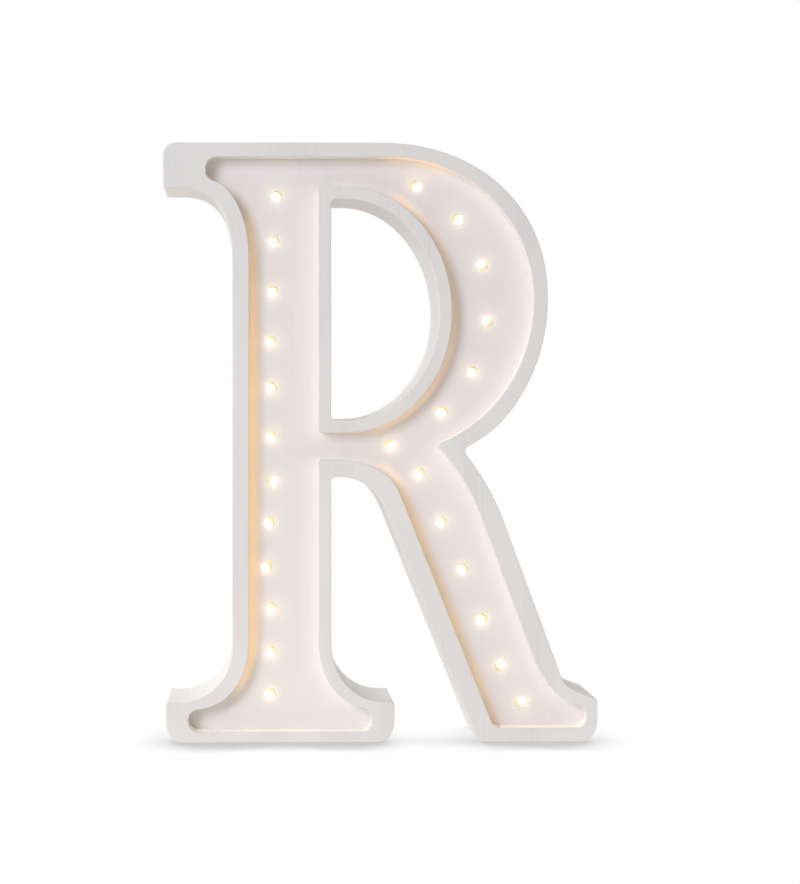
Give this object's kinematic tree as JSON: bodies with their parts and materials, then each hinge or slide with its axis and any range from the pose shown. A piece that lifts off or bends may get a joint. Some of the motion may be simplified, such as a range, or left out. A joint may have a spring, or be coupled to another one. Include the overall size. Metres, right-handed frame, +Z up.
{
  "type": "letter night light",
  "caption": "Standing serif capital letter in painted wood with a front tray of small warm lamps, an inset back panel, a battery box with a hinged door and a slide switch.",
  "frame": {"origin": "on the ground, at the middle of the letter's width and depth", "axes": "+Z up, -Y out of the lit front face, +X to the reader's right"},
  "size_m": [0.2466, 0.05, 0.34],
  "materials": {
    "painted_wood": "matte painted, fine vertical grain",
    "panel_board": "matte painted board",
    "screw_steel": "zinc plated",
    "lens_amber": "clear warm lens, lit",
    "sleeve_ivory": "satin moulded",
    "wire_red": "satin insulation",
    "wire_dark": "satin insulation",
    "box_white": "fine moulded texture",
    "cell_wrap": "gloss sleeve over a metal can",
    "contact_nickel": "nickel plated",
    "switch_steel": "tinned sheet",
    "switch_resin": "pressed resin board",
    "contact_brass": "bright",
    "slider_black": "satin moulded",
    "board_green": "lacquered",
    "resistor_tan": "lacquered"
  },
  "bodies": {
    "letter": {"letter_body": "painted_wood", "back_panel": "panel_board", "panel_screws": "screw_steel", "lamp_lenses": "lens_amber", "lamp_sleeves": "sleeve_ivory", "string_wire_positive": "wire_red", "string_wire_negative": "wire_dark", "battery_box": "box_white", "box_screws": "screw_steel", "cell_left": "cell_wrap", "cell_right": "cell_wrap", "positive_plate": "contact_nickel", "negative_plate": "contact_nickel", "bridge_plate": "contact_nickel", "contact_springs": "contact_nickel", "lead_red": "wire_red", "lead_black": "wire_dark", "switch_housing": "switch_steel", "switch_base": "switch_resin", "switch_terminals": "contact_brass", "switch_screws": "screw_steel", "switch_nuts": "screw_steel", "circuit_board": "board_green", "resistor": "resistor_tan", "jumper_wires": "wire_red"},
    "door": {"battery_door": "box_white"},
    "slider": {"switch_slider": "slider_black", "switch_wiper": "contact_brass"}
  },
  "joints": [
    {"name": "door_hinge", "type": "hinge", "parent": "letter", "child": "door", "pos_m": [-0.05495, 0.022, 0.1392], "axis": [1, 0, 0], "range_deg": [0, 100]},
    {"name": "switch_slide", "type": "slide", "parent": "letter", "child": "slider", "axis": [0, 0, 1], "range_m": [-0.004, 0]}
  ]
}
